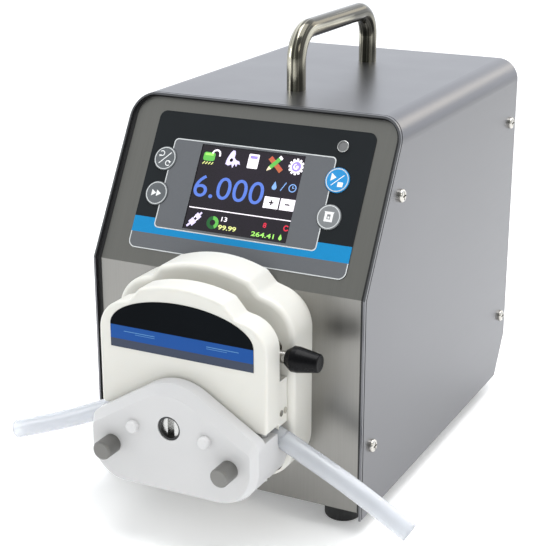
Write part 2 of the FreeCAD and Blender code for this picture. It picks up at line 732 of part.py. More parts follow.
def tie_studs():
    return Part.makeCompound([rod_y(x, STUD_Z, 2.5, -60, -6) for x in (-STUD_X, STUD_X)])


def cap_nuts():
    nuts = []
    for x in (-STUD_X, STUD_X):
        nut = rod_y(x, STUD_Z, 4.75, PLATE_FRONT - NUT_LENGTH, PLATE_FRONT)
        rims = [edge for edge in nut.Edges if edge.BoundBox.YMax < PLATE_FRONT - 9]
        nut = nut.makeChamfer(0.8, rims)
        nuts.append(nut.cut(rod_y(x, STUD_Z, 2.5, -60, -40)))
    return Part.makeCompound(nuts)


def over_tube(x):
    """Height that clears the straight part of the tube on its way out."""
    rise = (TUBE_OUTER + 0.6) / math.cos(EXIT_SLOPE)
    return EXIT_Z + rise + (EXIT_X - x) * math.tan(EXIT_SLOPE)


def wing(side):
    """Side web of the upper block, above the tube's way out."""
    outer_x = EXIT_X - 0.3
    outline = [(12, 78), (outer_x, 78), (outer_x, over_tube(outer_x))]
    outline += [(28.5, over_tube(28.5)), (20.6, 68.6), (12, 72)]
    return prism_xz([(side * x, z) for x, z in outline], FLANGE_REAR - 0.5, HOUSING_FRONT - 0.25)


def tube_clearance(side):
    """Room for the tube below the wing, deeper where the tube is still squeezed wide."""
    far = EXIT_X + 5
    outer = [(28, 40), (far, 40), (far, over_tube(far)), (28, over_tube(28))]
    inner = [(0, 40), (28.5, 40), (28.5, over_tube(28.5)), (20.6, 68.6), (0, 68.6)]
    deep = ROTOR_Y - SQUEEZED_HALF - 0.4
    shallow = ROTOR_Y - TUBE_OUTER - 0.5
    room = prism_xz([(side * x, z) for x, z in outer], shallow, FLANGE_REAR + 0.01)
    return room.fuse(prism_xz([(side * x, z) for x, z in inner], deep, FLANGE_REAR + 0.01))


def upper_block():
    outline = crowned_outline(45.2, 55.8, 2.0, 121.2, (22.6, 117.5), (28.6, 110.6, 107.1),
                              (70.0, 3.0, 4.0, 15.5))
    flange = soften(rounded_prism(outline, FLANGE_FRONT, FLANGE_REAR), 1.6, FLANGE_FRONT)
    rear = ROTOR_Y + ROLLER_WIDTH / 2 + 2.2
    bed = ring_y(0, SHAFT_Z, BED_OUTER, BED_RADIUS - 2, FLANGE_REAR - 0.5, rear)
    reach = 60.0
    spread = [(0, SHAFT_Z), (reach, SHAFT_Z + reach * math.tan(math.radians(30))), (0, 160)]
    half = prism_xz(spread, -60, 0)
    bed = bed.common(half.fuse(half.mirror(vec(0, 0, 0), vec(1, 0, 0))))
    block = flange.fuse(bed)
    for side in (-1, 1):
        block = block.fuse(wing(side))
    block = block.cut(rod_y(0, SHAFT_Z, BED_RADIUS, ROTOR_Y - ROLLER_WIDTH / 2 - 2.6, 0))
    block = block.cut(rod_y(0, SHAFT_Z, 6.5, -50, -30))
    for side in (-1, 1):
        block = block.cut(tube_clearance(side))
        block = block.cut(rod_z(side * POST_X, POST_Y, 3.05, 50, 100))
        x0, x1 = sorted((side * 42.7, side * 50))
        block = block.cut(box(x0, x1, FLANGE_REAR, -10, 50, 67.0))
        for y in retainer_screw_depths():
            block = block.cut(rod_x(y, 61.5, 1.0, min(side * 38, side * 50), max(side * 38, side * 50)))
    return block.cut(rod_y(0, LEVER_Z, 4.05, -39.2, 0)).removeSplitter()


def retainer_screw_depths():
    return (-26.6, -22.4)


def tube_retainer():
    plate = box(42.7, 44.9, FLANGE_REAR, HOUSING_FRONT - 0.25, over_tube(42.7) + 0.3, 67.0)
    for y in retainer_screw_depths():
        plate = plate.cut(rod_x(y, 61.5, 1.0, 38, 50))
    return plate


def retainer_screws():
    screws = []
    for y in retainer_screw_depths():
        screw = rod_x(y, 61.5, 1.6, 44.9, 45.3).fuse(rod_x(y, 61.5, 1.0, 38.2, 45.0))
        screws.append(both_sides(screw))
    return Part.makeCompound(screws)


def head_decal():
    half = 38.6
    foot = 86.6
    shoulder = 97.9
    strip = box(-half, half, FLANGE_FRONT - 0.2, FLANGE_FRONT, foot, shoulder)
    centre = vec(0, FLANGE_FRONT - 0.2, shoulder)
    side = vec(half, FLANGE_FRONT - 0.2, shoulder)
    crown = vec(0, FLANGE_FRONT - 0.2, shoulder + 15.7)
    rim = Part.Wire(Part.Ellipse(side, crown, centre).toShape())
    dome = Part.Face(rim).extrude(vec(0, 0.2, 0))
    return strip.fuse(dome.common(box(-60, 60, -60, 0, shoulder, 130))).removeSplitter()


def lever_hub():
    hub = rod_y(0, LEVER_Z, 6.2, FLANGE_REAR + 0.3, HOUSING_FRONT - 0.5)
    hub = hub.fuse(rod_y(0, LEVER_Z, 4.0, -39.0, FLANGE_REAR + 0.5))
    hub = hub.fuse(rod_y(0, LEVER_Z + CRANK, 2.0, HOUSING_FRONT - 0.6, -14.2))
    return hub.cut(rod_x(LEVER_Y, LEVER_Z, 3.0, 1.5, 20))


def lever_rod():
    bar = rod_x(LEVER_Y, LEVER_Z, 3.0, 1.5, 58)
    return bar.makeChamfer(0.5, [edge for edge in bar.Edges if edge.BoundBox.XMin > 57])


def lever_knob():
    start = 47.3
    profile = [(start, 0), (start, 3.9), (start + 3.4, 6.2), (start + 6.0, 6.2)]
    profile += [(start + 16.9, 4.3), (start + 16.9, 0)]
    points = [vec(x, LEVER_Y, LEVER_Z + radius) for x, radius in profile]
    knob = face_of(points).revolve(vec(0, LEVER_Y, LEVER_Z), vec(1, 0, 0), 360)
    rim = [edge for edge in knob.Edges if edge.BoundBox.XMin > start + 16]
    knob = knob.makeFillet(0.8, rim)
    return knob.cut(rod_x(LEVER_Y, LEVER_Z, 3.0, start - 1, 58))


# ---- rotor

def roller_angle(index):
    return math.radians(90 + 120 * index)


def roller_spot(index):
    angle = roller_angle(index)
    return ROLLER_PITCH * math.cos(angle), SHAFT_Z + ROLLER_PITCH * math.sin(angle)


def rotor_shaft():
    front = PLATE_FRONT + 2.2
    shaft = rod_y(0, SHAFT_Z, 5.0, front, 0.6)
    shaft = shaft.cut(box(-1.8, 1.8, front - 1, front + 3, SHAFT_Z - 8, SHAFT_Z + 8))
    return shaft.cut(box(-1.2, 1.2, -2.8, 5, SHAFT_Z - 8, SHAFT_Z + 8))


def rotor_plate(y0, y1):
    plate = ring_y(0, SHAFT_Z, ROLLER_TIP - 0.6, 5.0, y0, y1)
    for index in range(3):
        x, z = roller_spot(index)
        plate = plate.cut(rod_y(x, z, 2.0, y0 - 1, y1 + 1))
    return plate


def roller_pins():
    half = ROLLER_WIDTH / 2
    pins = []
    for index in range(3):
        x, z = roller_spot(index)
        pins.append(rod_y(x, z, 2.0, ROTOR_Y - half - 2.2, ROTOR_Y + half + 2.2))
    return Part.makeCompound(pins)


def roller(index):
    x, z = roller_spot(index)
    half = ROLLER_WIDTH / 2 - 0.15
    return ring_y(x, z, ROLLER_RADIUS, 2.05, ROTOR_Y - half, ROTOR_Y + half)


# ---- tubing

def oval(centre, way, wide, thick):
    """Oval cross-section of the tube: its long axis lies along Y."""
    across = vec(0, 1, 0)
    flat = way.cross(across)
    curve = Part.Ellipse(centre + across * wide, centre + flat * thick, centre)
    return Part.Wire(curve.toShape())


def downward(degrees):
    return vec(math.cos(math.radians(degrees)), 0, -math.sin(math.radians(degrees)))


def squeezed_arc():
    """Flattened tube along the third of a turn that the jaw covers."""
    start = math.radians(30)
    spot = vec(TUBE_LINE * math.cos(start), ROTOR_Y, SHAFT_Z + TUBE_LINE * math.sin(start))
    section = Part.Face(oval(spot, downward(60), SQUEEZED_HALF, SQUEEZED / 2))
    return section.revolve(vec(0, ROTOR_Y, SHAFT_Z), vec(0, -1, 0), 120)


def outlet():
    """Right-hand blend from the flattened tube to the round one, and the round stub."""
    start = math.radians(30)
    first = vec(TUBE_LINE * math.cos(start), ROTOR_Y, SHAFT_Z + TUBE_LINE * math.sin(start))
    second = vec(22.2, ROTOR_Y, 61.6)
    third = vec(25.2, ROTOR_Y, EXIT_Z + (EXIT_X - 25.2) * math.tan(EXIT_SLOPE))
    way = vec(math.cos(EXIT_SLOPE), 0, -math.sin(EXIT_SLOPE))
    last = third + way * 5.0
    wires = [oval(first, downward(60), SQUEEZED_HALF, SQUEEZED / 2)]
    wires.append(oval(second, downward(55), 6.2, 2.6))
    wires.append(oval(third, downward(38), 5.2, 4.4))
    wires.append(oval(last, way, TUBE_OUTER + 0.001, TUBE_OUTER))
    length = (EXIT_X - last.x) / math.cos(EXIT_SLOPE)
    stub = Part.makeCylinder(TUBE_OUTER, length, last, way)
    stub = stub.cut(Part.makeCylinder(TUBE_BORE, length + 2, last - way, way))
    return [Part.makeLoft(wires, True), stub]


def pump_tube():
    right = outlet()
    left = [piece.mirror(vec(0, 0, 0), vec(1, 0, 0)) for piece in right]
    return Part.makeCompound([squeezed_arc()] + right + left)


def free_tube(route, name):
    """Tube along straight runs joined by tangent arcs, with its bore."""
    points = [vec(x, ROTOR_Y, z) for x, z in route]
    edges = []
    start = points[0]
    for index in range(1, len(points) - 1):
        before = points[index] - points[index - 1]
        after = points[index + 1] - points[index]
        turn = before.getAngle(after)
        radius = 0.45 * min(before.Length, after.Length) / math.tan(turn / 2)
        print(name, "bend radius", round(radius, 1), "mm, turn", round(math.degrees(turn), 1))
        entry, middle, leave = corner_points(points[index - 1], points[index], points[index + 1], radius)
        edges.append(Part.LineSegment(start, entry).toShape())
        edges.append(Part.Arc(entry, middle, leave).toShape())
        start = leave
    edges.append(Part.LineSegment(start, points[-1]).toShape())
    path = Part.Wire(edges)
    way = points[1] - points[0]
    solids = []
    for radius in (TUBE_OUTER, TUBE_BORE):
        ring = Part.Wire(Part.Circle(points[0], way, radius).toShape())
        solids.append(path.makePipeShell([ring], True, False))
    area = math.pi * (TUBE_OUTER ** 2 - TUBE_BORE ** 2)
    tube = solids[0].cut(solids[1])
    print(name, "length", round(path.Length, 1), "volume ratio", round(tube.Volume / area / path.Length, 4))
    return tube


FIRST_Z = EXIT_Z - (66.0 - EXIT_X) * math.tan(EXIT_SLOPE)
RIGHT_ROUTE = [(EXIT_X, EXIT_Z), (66.0, FIRST_Z), (88.5, 27.0), (110.9, 13.9)]
LEFT_ROUTE = [(-EXIT_X, EXIT_Z), (-66.0, FIRST_Z), (-88.0, 28.7), (-110.464, 20.252)]


def main():
    os.makedirs("parts", exist_ok=True)
    save(case_cover(), "case_cover")
    save(front_panel(), "front_panel")
    save(front_gasket(), "front_gasket")
    save(rear_panel(), "rear_panel")
    save(base_tray(), "base_tray")
    save(feet(), "feet")
    save(foot_screws(), "foot_screws")
    save(carry_handle(), "carry_handle")
    save(handle_screws(), "handle_screws")
    save(side_screws(), "side_screws")
    save(control_overlay(), "control_overlay")
    save(display_window(), "display_window")
    save(lcd_module(), "lcd_module")
    names = ("key_prime", "key_direction", "key_menu", "key_start")
    for name, (x, s) in zip(names, key_spots()):
        save(key_cap(x, s), name)
    save(key_board(), "key_board")
    save(key_switches(), "key_switches")
    save(lamp_bezel(), "lamp_bezel")
    save(indicator_lamp(), "indicator_lamp")
    save(power_supply(), "power_supply")
    save(control_board(), "control_board")
    save(Part.makeCompound(key_pillars() + board_standoffs()), "board_pillars")
    save(motor_plate(), "motor_plate")
    save(stepper_motor(), "stepper_motor")
    save(motor_shaft(), "motor_shaft")
    save(motor_screws(), "motor_screws")
    save(power_inlet(), "power_inlet")
    save(inlet_pins(), "inlet_pins")
    save(inlet_screws(), "inlet_screws")
    save(fuse_holder(), "fuse_holder")
    save(switch_frame(), "switch_frame")
    save(switch_rocker(), "switch_rocker")
    save(data_connector(), "data_connector")
    save(jack_screws(), "jack_screws")
    save(rear_housing(), "rear_housing")
    save(housing_screws(), "housing_screws")
    save(lower_block(), "lower_block")
    save(shaft_bearings(), "shaft_bearings")
    save(locating_pins(), "locating_pins")
    save(guide_posts(), "guide_posts")
    save(tie_studs(), "tie_studs")
    save(cap_nuts(), "cap_nuts")
    save(upper_block(), "upper_block")
    save(both_sides(tube_retainer()), "tube_retainers")
    save(retainer_screws(), "retainer_screws")
    save(head_decal(), "head_decal")
    save(lever_hub(), "lever_hub")
    save(lever_rod(), "lever_rod")
    save(lever_knob(), "lever_knob")
    save(rotor_shaft(), "rotor_shaft")
    half = ROLLER_WIDTH / 2
    plates = rotor_plate(ROTOR_Y - half - 2.0, ROTOR_Y - half)
    plates = Part.makeCompound([plates, rotor_plate(ROTOR_Y + half, ROTOR_Y + half + 2.0)])
    save(plates, "rotor_plates")
    save(roller_pins(), "roller_pins")
    for index in range(3):
        save(roller(index), "roller_" + str(index + 1))
    save(pump_tube(), "pump_tube")
    save(free_tube(RIGHT_ROUTE, "tube_right"), "tube_right")
    save(free_tube(LEFT_ROUTE, "tube_left"), "tube_left")


main()
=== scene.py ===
"""Looks of the bench-top peristaltic pump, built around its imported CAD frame."""
import json
import math

import bpy
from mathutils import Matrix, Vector


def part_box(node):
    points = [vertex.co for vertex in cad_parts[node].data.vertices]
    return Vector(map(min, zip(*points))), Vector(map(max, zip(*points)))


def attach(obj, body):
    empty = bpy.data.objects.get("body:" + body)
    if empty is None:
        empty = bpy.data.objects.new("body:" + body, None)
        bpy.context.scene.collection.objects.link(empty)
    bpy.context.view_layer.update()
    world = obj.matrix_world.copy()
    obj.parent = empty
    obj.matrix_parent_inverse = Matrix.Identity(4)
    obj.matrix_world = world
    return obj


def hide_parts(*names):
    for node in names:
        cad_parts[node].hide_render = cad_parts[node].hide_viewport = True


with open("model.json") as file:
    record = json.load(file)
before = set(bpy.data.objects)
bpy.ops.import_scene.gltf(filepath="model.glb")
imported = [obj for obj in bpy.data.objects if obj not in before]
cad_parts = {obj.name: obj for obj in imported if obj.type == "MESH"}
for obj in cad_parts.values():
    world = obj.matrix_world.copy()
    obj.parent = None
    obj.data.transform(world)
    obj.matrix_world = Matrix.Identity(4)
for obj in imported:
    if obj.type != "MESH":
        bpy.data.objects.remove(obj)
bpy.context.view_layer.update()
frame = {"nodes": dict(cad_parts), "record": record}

MM = 0.001
RECORD = frame["record"]
JOINTS = {joint["name"]: joint for joint in RECORD["behaviour"]["joints"]}


# ---- camera

CAMERA_PLACE = (0.3141, -0.6484, 0.3456)
CAMERA_AROUND = 26.73
CAMERA_ABOVE = 18.80
SENSOR_WIDTH = 36.0
LENS = 91.9
NEAR_CLIP = 0.01


def add_camera():
    """A camera in front of the object, to its right and above, aimed by its two angles in degrees."""
    around = math.radians(CAMERA_AROUND)
    above = math.radians(CAMERA_ABOVE)
    back = Vector((math.sin(around) * math.cos(above),
                   -math.cos(around) * math.cos(above),
                   math.sin(above)))
    camera = bpy.data.objects.new("camera", bpy.data.cameras.new("camera"))
    camera.location = CAMERA_PLACE
    camera.rotation_mode = "QUATERNION"
    camera.rotation_quaternion = (-back).to_track_quat("-Z", "Y")
    camera.data.sensor_width = SENSOR_WIDTH
    camera.data.lens = LENS
    camera.data.clip_start = NEAR_CLIP
    bpy.context.scene.collection.objects.link(camera)
    bpy.context.scene.camera = camera


add_camera()


# ---- materials

NOISE_LOW = 0.3
NOISE_HIGH = 0.7
PATCH_SCALE = 9.0
PATCH_SHIFT = 0.12
INK_GRAIN = 4000.0
INK_TINT = 0.05
INK_SWING = 0.04
INK_ROUGH = 0.45
INK_SPECULAR = 0.2
DISPLAY_ROUGH = 0.2


class Nodes:
    """A new material with its Principled shader and the few nodes that every finish shares."""

    def __init__(self, name):
        self.material = bpy.data.materials.new(name)
        self.material.use_nodes = True
        self.tree = self.material.node_tree
        self.shader = self.tree.nodes["Principled BSDF"]
        self.place = self.add("ShaderNodeTexCoord").outputs["Object"]

    def add(self, kind, **inputs):
        node = self.tree.nodes.new(kind)
        for key, value in inputs.items():
            node.inputs[key.replace("_", " ")].default_value = value
        return node

    def link(self, source, target):
        self.tree.links.new(source, target)

    def noise(self, scale, stretch=(1, 1, 1), detail=3.0):
        """Noise whose scale is in repeats per metre, drawn out along an axis by a small stretch."""
        mapping = self.add("ShaderNodeMapping", Scale=stretch)
        noise = self.add("ShaderNodeTexNoise", Scale=scale, Detail=detail)
        self.link(self.place, mapping.inputs["Vector"])
        self.link(mapping.outputs["Vector"], noise.inputs["Vector"])
        return noise.outputs["Fac"]

    def blend(self, factor, first, second, low=0.35, high=0.65):
        """The first colour up to the low factor, the second from the high one, mixed between them."""
        ramp = self.add("ShaderNodeValToRGB")
        ramp.color_ramp.elements[0].position = low
        ramp.color_ramp.elements[1].position = high
        ramp.color_ramp.elements[0].color = (*first, 1)
        ramp.color_ramp.elements[1].color = (*second, 1)
        self.link(factor, ramp.inputs["Fac"])
        return ramp.outputs["Color"]

    def between(self, factor, low, high):
        """A value from low to high over the range that noise usually covers."""
        ranged = self.add("ShaderNodeMapRange", From_Min=NOISE_LOW, From_Max=NOISE_HIGH,
                          To_Min=low, To_Max=high)
        self.link(factor, ranged.inputs["Value"])
        return ranged.outputs["Result"]

    def relief(self, height, depth):
        """Bump of a depth in metres."""
        bump = self.add("ShaderNodeBump", Strength=1.0, Distance=depth)
        self.link(height, bump.inputs["Height"])
        self.link(bump.outputs["Normal"], self.shader.inputs["Normal"])


def shade(color, factor):
    return tuple(min(1.0, channel * factor) for channel in color)


def finish(name, color, rough, swing=0.05, tint=0.06, grain=900.0, stretch=(1, 1, 1), depth=0.00002,
           broad=25.0, **sockets):
    """Colour drifts over broad patches, while roughness and relief follow a fine grain."""
    made = Nodes(name)
    drift = made.noise(broad, detail=2.0)
    fine = made.noise(grain, stretch)
    drifting = made.blend(drift, shade(color, 1 - tint), shade(color, 1 + tint))
    made.link(drifting, made.shader.inputs["Base Color"])
    made.link(made.between(fine, rough - swing, rough + swing), made.shader.inputs["Roughness"])
    made.relief(fine, depth)
    for key, value in sockets.items():
        made.shader.inputs[key.replace("_", " ")].default_value = value
    return made.material


def grain_and_sheen_steel(name, color, rough, stretch, depth, tint, swing, spread=0.2):
    """Steel whose colour, roughness and relief follow fine lines along the axis of the smallest stretch.
    On the sheet steel the lines are grain; on the handle's rod, with its large tint, the light and dark
    colour lines are painted highlights and painted reflections.
    """
    made = Nodes(name)
    lines = made.noise(1.0, stretch, detail=4.0)
    patches = made.noise(PATCH_SCALE, detail=3.0)
    shift = made.between(patches, -PATCH_SHIFT, PATCH_SHIFT)
    shifted = made.add("ShaderNodeMath")
    shifted.operation = "ADD"
    made.link(lines, shifted.inputs[0])
    made.link(shift, shifted.inputs[1])
    # Light and dark lines in the colour: grain on sheet steel, painted highlights and painted reflections
    # on the handle's rod.
    grain_and_sheen_colour = made.blend(shifted.outputs[0], shade(color, 1 - tint), shade(color, 1 + tint),
                         0.5 - spread, 0.5 + spread)
    made.link(grain_and_sheen_colour, made.shader.inputs["Base Color"])
    made.link(made.between(lines, rough - swing, rough + swing), made.shader.inputs["Roughness"])
    made.relief(lines, depth)
    made.shader.inputs["Metallic"].default_value = 1.0
    return made.material


def printed_ink(name, color, rough=INK_ROUGH, glow=0.0):
    made = Nodes(name)
    fine = made.noise(INK_GRAIN)
    mottled = made.blend(fine, shade(color, 1 - INK_TINT), shade(color, 1 + INK_TINT))
    made.link(mottled, made.shader.inputs["Base Color"])
    made.link(made.between(fine, rough - INK_SWING, rough + INK_SWING), made.shader.inputs["Roughness"])
    made.shader.inputs["Specular IOR Level"].default_value = INK_SPECULAR
    if glow:
        made.shader.inputs["Emission Color"].default_value = (*color, 1)
        made.shader.inputs["Emission Strength"].default_value = glow
    return made.material


# Finishes by material slot. A depth is in metres. A grain and a stretch are in repeats per metre.
PLAIN_LOOKS = {
    "tray_steel": dict(color=(0.34, 0.345, 0.35), rough=0.5, Metallic=0.6),
    "gasket": dict(color=(0.012, 0.012, 0.013), rough=0.55, grain=2500.0, depth=0.00005),
    "foot_rubber": dict(color=(0.010, 0.010, 0.011), rough=0.6, grain=2200.0, depth=0.00006),
    "screw_steel": dict(color=(0.58, 0.56, 0.52), rough=0.2, grain=1800.0, depth=0.00001, Metallic=1.0),
    "overlay": dict(color=(0.0085, 0.0110, 0.0135), rough=0.42, tint=0.08, grain=5000.0, depth=0.00001,
                    Specular_IOR_Level=0.25),
    "display_glass": dict(color=(0.010, 0.005, 0.013), rough=0.12, swing=0.02, tint=0.3, grain=3000.0,
                          depth=0.000002, Coat_Weight=0.5, Coat_Roughness=0.05),
    "display_body": dict(color=(0.02, 0.02, 0.022), rough=0.5),
    "key_silver": dict(color=(0.115, 0.125, 0.135), rough=0.4, swing=0.04, tint=0.08, grain=3500.0,
                       depth=0.00001),
    "key_menu_silver": dict(color=(0.215, 0.225, 0.235), rough=0.4, swing=0.04, tint=0.08, grain=3500.0,
                            depth=0.00001),
    "key_blue": dict(color=(0.018, 0.27, 0.62), rough=0.38, swing=0.04, tint=0.08, grain=3500.0,
                     depth=0.00001),
    "board": dict(color=(0.01, 0.09, 0.035), rough=0.45, grain=1500.0),
    "lamp_metal": dict(color=(0.62, 0.62, 0.62), rough=0.22, grain=3000.0, depth=0.000005, Metallic=1.0),
    "lamp_lens": dict(color=(0.17, 0.17, 0.175), rough=0.25, swing=0.03, grain=3000.0, depth=0.000004,
                      Coat_Weight=0.6),
    "supply_case": dict(color=(0.45, 0.46, 0.47), rough=0.5, grain=1200.0),
    "motor_black": dict(color=(0.012, 0.012, 0.013), rough=0.4, grain=1500.0),
    "alu": dict(color=(0.55, 0.55, 0.56), rough=0.38, grain=1500.0, stretch=(0.1, 1, 1), Metallic=1.0),
    "black_plastic": dict(color=(0.011, 0.011, 0.012), rough=0.48, grain=2500.0, depth=0.00003),
    "contact_brass": dict(color=(0.62, 0.46, 0.2), rough=0.3, grain=2000.0, Metallic=1.0),
    "head_white": dict(color=(0.725, 0.712, 0.665), rough=0.36, tint=0.012, grain=1500.0, depth=0.000012,
                       Subsurface_Weight=0.12, Subsurface_Scale=0.002,
                       Subsurface_Radius=(1.0, 0.8, 0.6)),
    # The front plate's white is darker and cooler than the head's white: painted shade of its front face.
    "head_front": dict(color=(0.61, 0.605, 0.61), rough=0.34, tint=0.012, grain=1500.0, depth=0.000012,
                       Subsurface_Weight=0.12, Subsurface_Scale=0.002,
                       Subsurface_Radius=(0.8, 0.9, 1.0)),
    "nut_grey": dict(color=(0.19, 0.187, 0.178), rough=0.42, grain=2200.0, Metallic=0.75),
    "pin_white": dict(color=(0.66, 0.655, 0.66), rough=0.3, swing=0.04, tint=0.015, grain=1800.0,
                      depth=0.00001),
    "decal": dict(color=(0.0045, 0.0058, 0.0075), rough=0.3, swing=0.04, tint=0.1, grain=4000.0,
                  depth=0.000006, Specular_IOR_Level=0.02),
    "knob_black": dict(color=(0.0020, 0.0020, 0.0028), rough=0.3, grain=1800.0, depth=0.000015,
                       Specular_IOR_Level=0.14),
    "lever_steel": dict(color=(0.42, 0.41, 0.39), rough=0.22, grain=1500.0, stretch=(1, 0.1, 1),
                        Metallic=1.0),
    "rotor_steel": dict(color=(0.50, 0.50, 0.49), rough=0.26, grain=1500.0, Metallic=1.0),
    "roller_plastic": dict(color=(0.6, 0.6, 0.58), rough=0.35),
    "bearing": dict(color=(0.012, 0.012, 0.013), rough=0.35, grain=1500.0),
    "tube": dict(color=(0.86, 0.88, 0.92), rough=0.2, swing=0.02, tint=0.02, grain=60.0, depth=0.0,
                 Transmission_Weight=0.6, IOR=1.41, Coat_Weight=0.25, Coat_Roughness=0.15),
}

GRAIN_AND_SHEEN_LOOKS = {
    "cover_steel": dict(color=(0.175, 0.176, 0.187), rough=0.33, stretch=(30, 30, 2600), depth=0.0000008,
                        tint=0.03, swing=0.02),
    "front_steel": dict(color=(0.268, 0.262, 0.248), rough=0.33, stretch=(2600, 30, 30), depth=0.000001,
                        tint=0.03, swing=0.02),
    # The handle's light and dark colour lines (tint 0.8, narrow spread) are painted highlights and
    # painted reflections along the bar; its roughness and relief keep the grain.
    "rod_steel": dict(color=(0.42, 0.40, 0.325), rough=0.17, stretch=(620, 7, 7), depth=0.000002,
                      tint=0.8, swing=0.03, spread=0.10),
}

FINISHES = {name: finish(name, **look) for name, look in PLAIN_LOOKS.items()}
FINISHES.update({name: grain_and_sheen_steel(name, **look) for name, look in GRAIN_AND_SHEEN_LOOKS.items()})
# The menu key is paler than the other keys of its slot.
NODE_FINISH = {"key_menu": "key_menu_silver"}

PRINTED_INKS = {
    "panel_grey": (0.128, 0.134, 0.146),
    "band_blue": (0.008, 0.235, 0.52),
    "line_white": (0.62, 0.64, 0.65),
    "icon_white": (0.86, 0.87, 0.88),
    "decal_blue": (0.002, 0.070, 0.31),
    "decal_grey": (0.045, 0.058, 0.095),
    "decal_line": (0.10, 0.27, 0.52),
}

# What the display shows: each colour and how much it glows.
DISPLAY_INKS = {
    "lit_white": ((0.85, 0.80, 0.86), 0.55),
    "lit_violet": ((0.27, 0.21, 0.62), 0.6),
    "lit_lavender": ((0.60, 0.54, 0.82), 0.55),
    "lit_figure": ((0.085, 0.155, 0.50), 0.55),
    "lit_sky": ((0.18, 0.32, 0.62), 0.6),
    "lit_green": ((0.10, 0.36, 0.07), 0.6),
    "lit_dim_green": ((0.02, 0.09, 0.03), 0.5),
    "lit_yellow": ((0.62, 0.66, 0.24), 0.6),
    "lit_lime": ((0.28, 0.62, 0.12), 0.6),
    "lit_red": ((0.55, 0.03, 0.06), 0.6),
    "lit_brick": ((0.36, 0.10, 0.05), 0.6),
    "lit_cream": ((0.72, 0.62, 0.42), 0.55),
    "lit_dark": ((0.012, 0.008, 0.014), 0.0),
}

INKS = {name: printed_ink("ink_" + name, color) for name, color in PRINTED_INKS.items()}
for lit_name, (lit_color, lit_glow) in DISPLAY_INKS.items():
    INKS[lit_name] = printed_ink(lit_name, lit_color, DISPLAY_ROUGH, lit_glow)


# ---- hoses: the free ends of the pump's silicone tube

TUBE_OUTER = 4.8 * MM
TUBE_BORE = 3.2 * MM
TUBE_Y = -0.1062
TUBE_SIDES = 48
TUBE_STEPS = 24
RIM_CHAMFER = 0.14 * MM
RIM_SET_BACK = 0.105 * MM
RIGHT_ROUTE = [(0.0452, 0.0565), (0.0660, 0.0468), (0.0885, 0.0357), (0.1109, 0.0226)]
LEFT_ROUTE = [(-0.0452, 0.0565), (-0.0660, 0.0468), (-0.0880, 0.0374), (-0.110464, 0.028952)]


def route_points(route):
    """Points along the NURBS line that has the route's points as its control points."""
    curve = bpy.data.curves.new("route", "CURVE")
    curve.dimensions = "3D"
    curve.resolution_u = TUBE_STEPS
    spline = curve.splines.new("NURBS")
    spline.points.add(len(route) - 1)
    for point, (x, z) in zip(spline.points, route):
        point.co = (x, TUBE_Y, z, 1.0)
    spline.order_u = 3
    spline.use_endpoint_u = True
    holder = bpy.data.objects.new("route", curve)
    line = bpy.data.meshes.new_from_object(holder)
    points = [vertex.co.copy() for vertex in line.vertices]
    bpy.data.objects.remove(holder)
    bpy.data.meshes.remove(line)
    bpy.data.curves.remove(curve)
    return points


def mesh_object(name, vertices, faces, materials, smooth=True):
    mesh = bpy.data.meshes.new(name)
    mesh.from_pydata(vertices, [], faces)
    for material in materials:
        mesh.materials.append(material)
    for polygon in mesh.polygons:
        polygon.use_smooth = smooth
    piece = bpy.data.objects.new(name, mesh)
    bpy.context.scene.collection.objects.link(piece)
    return piece


def directions(points):
    """The line's direction at each of its points."""
    befores = [points[0]] + points[:-1]
    afters = points[1:] + [points[-1]]
    return [(after - before).normalized() for before, after in zip(befores, afters)]


def hose_mesh(points):
    """Rings of the outer wall out to the far end, round its cut rim, and back along the bore."""
    forward = directions(points)
    last = len(points) - 1
    pull = [0.0] * last + [-RIM_SET_BACK]
    walls = [(index, TUBE_OUTER, pull[index]) for index in range(last + 1)]
    walls.append((last, TUBE_OUTER - RIM_CHAMFER, 0.0))
    walls.append((last, TUBE_BORE + RIM_CHAMFER, 0.0))
    walls += [(index, TUBE_BORE, pull[index]) for index in reversed(range(last + 1))]
    vertices = []
    for index, radius, shift in walls:
        across = Vector((0, 1, 0))
        upward = forward[index].cross(across).normalized()
        for step in range(TUBE_SIDES):
            angle = 2 * math.pi * step / TUBE_SIDES
            offset = across * math.cos(angle) + upward * math.sin(angle)
            vertices.append(points[index] + offset * radius + forward[index] * shift)
    faces = []
    for ring in range(len(walls)):
        here = ring * TUBE_SIDES
        there = (ring + 1) % len(walls) * TUBE_SIDES
        for step in range(TUBE_SIDES):
            turn = (step + 1) % TUBE_SIDES
            faces.append((here + step, here + turn, there + turn, there + step))
    return vertices, faces


def add_hose(name, route):
    points = route_points(route)
    vertices, faces = hose_mesh(points)
    hose = mesh_object(name + "_hose", vertices, faces, [FINISHES["tube"]])
    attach(hose, "case")
    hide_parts(name)


add_hose("tube_right", RIGHT_ROUTE)
add_hose("tube_left", LEFT_ROUTE)


# ---- finishes on the CAD nodes

def dress_nodes():
    """Gives every CAD node the finish of its material slot."""
    slots = {part["node"]: part["material_slot"] for part in RECORD["subparts"]}
    for node, piece in frame["nodes"].items():
        material = FINISHES[NODE_FINISH.get(node, slots[node])]
        for holder in piece.material_slots:
            holder.material = material


dress_nodes()


# ---- flat outlines in millimetres, for everything that is printed or shown on the display

LAYER = 0.03
SOLID_LAYER = 0.9 * LAYER


def circle(x, y, radius, steps=48):
    return [(x + radius * math.cos(2 * math.pi * step / steps),
             y + radius * math.sin(2 * math.pi * step / steps)) for step in range(steps)]


def arc(x, y, radius, start, end, steps=16):
    """Points from the start angle to the end angle, in degrees."""
    turned = [math.radians(start + (end - start) * step / steps) for step in range(steps + 1)]
    return [(x + radius * math.cos(angle), y + radius * math.sin(angle)) for angle in turned]


